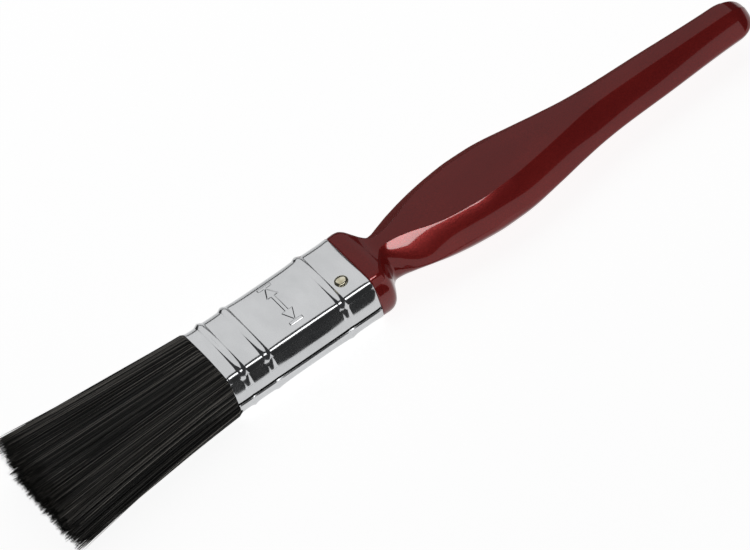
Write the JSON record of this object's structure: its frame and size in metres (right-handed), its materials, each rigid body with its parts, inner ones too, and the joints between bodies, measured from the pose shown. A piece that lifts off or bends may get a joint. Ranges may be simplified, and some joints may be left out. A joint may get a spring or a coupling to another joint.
{
  "type": "flat paint brush",
  "caption": "Flat decorator's paint brush: lacquered beaver-tail handle, beaded metal ferrule with a nail in each face, and dark bristle that fans out and flexes at the ferrule's mouth.",
  "frame": {"origin": "under the middle of the brush's length and width, on the surface that it lies on", "axes": "+X along the brush towards the handle's tail, Y across its width, +Z out of its front face, the face with the raised width mark"},
  "size_m": [0.1774, 0.027, 0.014],
  "materials": {
    "lacquered_wood": "burgundy lacquer with a fine metallic fleck and a clear gloss coat",
    "plated_steel": "bright nickel plate with fine handling marks",
    "nail_metal": "pale brass wash, polished",
    "epoxy": "amber cast resin",
    "bare_wood": "plain sawn softwood",
    "bristle": "near-black natural bristle with a slight sheen"
  },
  "bodies": {
    "stock": {"handle": "lacquered_wood", "ferrule": "plated_steel", "nail_front": "nail_metal", "nail_back": "nail_metal", "resin_setting": "epoxy", "spacer_plug": "bare_wood"},
    "bristle_head": {"bristles_front": "bristle", "bristles_back": "bristle"}
  },
  "joints": [
    {"name": "bristle_flex", "type": "hinge", "parent": "stock", "child": "bristle_head", "pos_m": [-0.04625, 0, 0.007], "axis": [0, 1, 0], "range_deg": [-35, 35], "stiffness_Nm_per_rad": 0.12, "deforming": ["bristles_front", "bristles_back"]}
  ]
}
